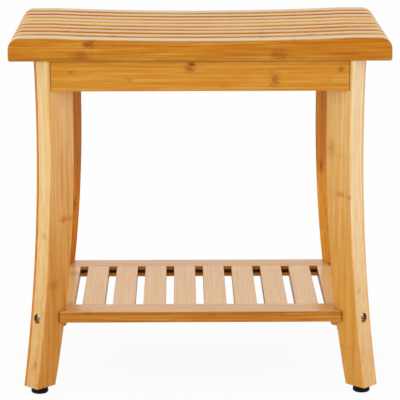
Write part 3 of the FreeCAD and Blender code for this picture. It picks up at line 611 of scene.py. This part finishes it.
RUBBER_GRAIN = 1400.0
RUBBER_CLOUD = 90.0
RUBBER_STOPS = [(0.3, colour(3, 3, 4)), (0.7, colour(11, 11, 12))]
RUBBER_SHINE = 0.12
RUBBER_ROUGHNESS = (0.45, 0.65)
RUBBER_BUMP = (0.25, 0.0003)


def rubber():
    """Black rubber with a fine moulded grain."""
    material, tree, shader = new_material("rubber_foot")
    place = add(tree, "ShaderNodeTexCoord").outputs["Object"]
    grain = noise(tree, place, RUBBER_GRAIN)
    shade = tones(tree, noise(tree, place, RUBBER_CLOUD), RUBBER_STOPS)
    shader.inputs["Specular IOR Level"].default_value = RUBBER_SHINE
    paint(tree, shader, shade, fit(tree, grain, *RUBBER_ROUGHNESS), bump(tree, grain, *RUBBER_BUMP))
    return material


# Metal

TURNING_SCALES = (300, 300, 2400)
METAL_CLOUD = 220.0
METAL_STOPS = (0.3, 0.7)
SMOOTHER = 0.08
ROUGHER = 0.1
METAL_BUMP = (0.12, 0.0002)
# Painted shade in the key sockets of the shelf bolts
SOCKET_SHADE_TINT = (0.17, 0.17, 0.18, 1.0)
SOCKET_RADIUS = 0.0022
SOCKET_EDGE = 0.0003


def bolt_socket_shade(tree, place):
    """Painted shade: 1 in the key sockets of the four shelf bolts, which lie on the diagonals of the legs."""
    part = split(tree, vector(tree, "ABSOLUTE", place))
    across = calc(tree, "DIVIDE", calc(tree, "SUBTRACT", part["X"], part["Y"]), math.sqrt(2))
    across = calc(tree, "SUBTRACT", across, LEG_MIDDLE)
    up = calc(tree, "SUBTRACT", part["Z"], BOLT_HEIGHT)
    square = calc(tree, "ADD", calc(tree, "MULTIPLY", across, across), calc(tree, "MULTIPLY", up, up))
    radius = calc(tree, "SQRT", square)
    return less(tree, rise(tree, radius, SOCKET_RADIUS - SOCKET_EDGE, SOCKET_RADIUS + SOCKET_EDGE))


def metal(name, dark, light, rough, sockets=False):
    """Plated metal with fine turning marks and a little unevenness, with painted shade in the key sockets if
    asked.
    """
    material, tree, shader = new_material(name)
    place = add(tree, "ShaderNodeTexCoord").outputs["Object"]
    turning = stretched_noise(tree, place, TURNING_SCALES)
    cloud = noise(tree, place, METAL_CLOUD, FINE_DETAIL)
    middle = calc(tree, "MULTIPLY", calc(tree, "ADD", turning, cloud), 0.5)
    shade = tones(tree, middle, list(zip(METAL_STOPS, (colour(*dark), colour(*light)))))
    if sockets:
        shade = mix(tree, bolt_socket_shade(tree, place), shade, SOCKET_SHADE_TINT, "MULTIPLY")
    shader.inputs["Metallic"].default_value = 1.0
    uneven = fit(tree, cloud, rough - SMOOTHER, rough + ROUGHER)
    paint(tree, shader, shade, uneven, bump(tree, turning, *METAL_BUMP))
    return material


# Which piece gets which material: the first of these names that its own name begins with

LOOK_OF_PIECE = {
    "apron_front": "apron",
    "apron_rear": "apron",
    "apron_": "apron_side",
    "seat_batten": "batten",
    "seat_screws": "steel",
    "batten_dowels": "dowel",
    "slat_dowels": "dowel",
    "corner_block_screws": "steel",
    "corner_block": "block",
    "leg_front_left": "leg_rising",
    "leg_rear_right": "leg_rising",
    "leg_front_right": "leg_falling",
    "leg_rear_left": "leg_falling",
    "leg_bolt": "steel",
    "leg_inserts": "brass",
    "shelf_rail": "rail",
    "shelf_slat": "shelf",
    "shelf_bolts": "bolt",
    "shelf_inserts": "brass",
    "foot_pad": "rubber",
    "foot_stud": "steel",
    "foot_inserts": "brass",
}


def look_of(node, looks):
    """Material of one piece, which the seat slats have under their own names."""
    if node in looks:
        return looks[node]
    return next(looks[look] for start, look in LOOK_OF_PIECE.items() if node.startswith(start))


def dress():
    """Gives every piece of the bench its material."""
    looks = seat_bamboos() | apron_bamboos() | shelf_bamboos() | leg_bamboos()
    looks["dowel"] = dowel_wood()
    looks["rubber"] = rubber()
    looks["steel"] = metal("steel_zinc", (196, 198, 202), (240, 241, 243), 0.32)
    # The shelf bolts' steel is lighter than the other steel: painted light on heads that sit deep in their
    # holes
    looks["bolt"] = metal("steel_bolt_painted_light", (226, 227, 230), (250, 250, 251), 0.22, sockets=True)
    looks["brass"] = metal("brass_insert", (160, 124, 60), (212, 178, 104), 0.3)
    for node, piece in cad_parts.items():
        for slot in piece.material_slots:
            slot.material = look_of(node, looks)


# Floor and surround

WHITE = (1.0, 1.0, 1.0, 1.0)
WHITE_STRENGTH = 1.0
SURROUND_STRENGTH = 0.95
FLOOR_HALF = 6.0
FLOOR_COLOUR = (0.9, 0.9, 0.9, 1.0)
FLOOR_WHITE_SHARE = 0.93


def for_viewer(tree, seen_strength, lighting_strength):
    """Strength that is seen by the camera and in reflections, and another that lights the object."""
    path = add(tree, "ShaderNodeLightPath")
    seen = calc(tree, "MAXIMUM", path.outputs["Is Camera Ray"], path.outputs["Is Glossy Ray"])
    seen = calc(tree, "MAXIMUM", seen, path.outputs["Is Transmission Ray"])
    return fit(tree, seen, lighting_strength, seen_strength)


def make_world():
    """White surround that is seen as white and lights more softly."""
    world = bpy.data.worlds.new("studio")
    bpy.context.scene.world = world
    world.use_nodes = True
    tree = world.node_tree
    tree.nodes.clear()
    strength = for_viewer(tree, WHITE_STRENGTH, SURROUND_STRENGTH)
    surround = add(tree, "ShaderNodeBackground", {"Color": WHITE, "Strength": strength})
    output = add(tree, "ShaderNodeOutputWorld")
    tree.links.new(surround.outputs[0], output.inputs["Surface"])


def floor_material():
    """White that keeps a soft shadow: mostly glow to the viewer, and matt to the light."""
    material = bpy.data.materials.new("floor_white")
    material.use_nodes = True
    tree = material.node_tree
    tree.nodes.clear()
    matt = add(tree, "ShaderNodeBsdfDiffuse", {"Color": FLOOR_COLOUR})
    glow = add(tree, "ShaderNodeEmission", {"Color": WHITE, "Strength": WHITE_STRENGTH})
    share = for_viewer(tree, FLOOR_WHITE_SHARE, 0.0)
    blend = add(tree, "ShaderNodeMixShader", {0: share, 1: matt.outputs[0], 2: glow.outputs[0]})
    output = add(tree, "ShaderNodeOutputMaterial")
    tree.links.new(blend.outputs[0], output.inputs["Surface"])
    return material


def make_floor():
    """Large white floor that shows the soft shadow of the bench."""
    mesh = bpy.data.meshes.new("floor")
    corners = [(FLOOR_HALF * x, FLOOR_HALF * y, 0.0) for x, y in ((-1, -1), (1, -1), (1, 1), (-1, 1))]
    mesh.from_pydata(corners, [], [(0, 1, 2, 3)])
    mesh.materials.append(floor_material())
    floor = bpy.data.objects.new("floor", mesh)
    bpy.context.scene.collection.objects.link(floor)


# Lamps: place, width and power of each

LAMP_TARGET = (0.0, 0.0, 0.25)
LAMPS = {
    "light_above": ((0.0, -0.4, 2.4), 2.0, 4.0),
    "light_left": ((-1.7, -2.4, 0.9), 1.4, 9.0),
    "light_right": ((1.7, -2.4, 0.9), 1.4, 8.0),
}


def make_lights():
    """Square soft lights from above and from both sides of the camera."""
    for name, (place, width, power) in LAMPS.items():
        lamp = bpy.data.lights.new(name, "AREA")
        lamp.size = width
        lamp.energy = power
        light = bpy.data.objects.new(name, lamp)
        aim = Vector(LAMP_TARGET) - Vector(place)
        light.rotation_euler = aim.to_track_quat("-Z", "Y").to_euler()
        light.location = place
        light.visible_glossy = False
        bpy.context.scene.collection.objects.link(light)


# Camera, fitted to the edges of the seat, legs and shelf: pixels, millimetres, metres and degrees

IMAGE_SIZE = 400
FOCAL_PIXELS = 2068.5
SENSOR_WIDTH = 36.0
CAMERA_PLACE = (-0.0255, -2.802, 0.8831)
CAMERA_PITCH = 13.0885
CAMERA_YAW = -0.538
CAMERA_ROLL = 0.081
CAMERA_REACH = 100.0
LEVEL = 90.0


def make_camera():
    """Camera where the photograph was taken from."""
    data = bpy.data.cameras.new("camera")
    data.sensor_width = SENSOR_WIDTH
    data.lens = FOCAL_PIXELS * SENSOR_WIDTH / IMAGE_SIZE
    data.clip_end = CAMERA_REACH
    camera = bpy.data.objects.new("camera", data)
    turn = Matrix.Rotation(math.radians(CAMERA_YAW), 4, "Z")
    tilt = Matrix.Rotation(math.radians(LEVEL - CAMERA_PITCH), 4, "X")
    roll = Matrix.Rotation(math.radians(-CAMERA_ROLL), 4, "Z")
    camera.matrix_world = Matrix.Translation(CAMERA_PLACE) @ turn @ tilt @ roll
    bpy.context.scene.collection.objects.link(camera)
    bpy.context.scene.camera = camera


dress()
make_world()
make_floor()
make_lights()
make_camera()
bpy.context.scene.view_settings.view_transform = "Standard"
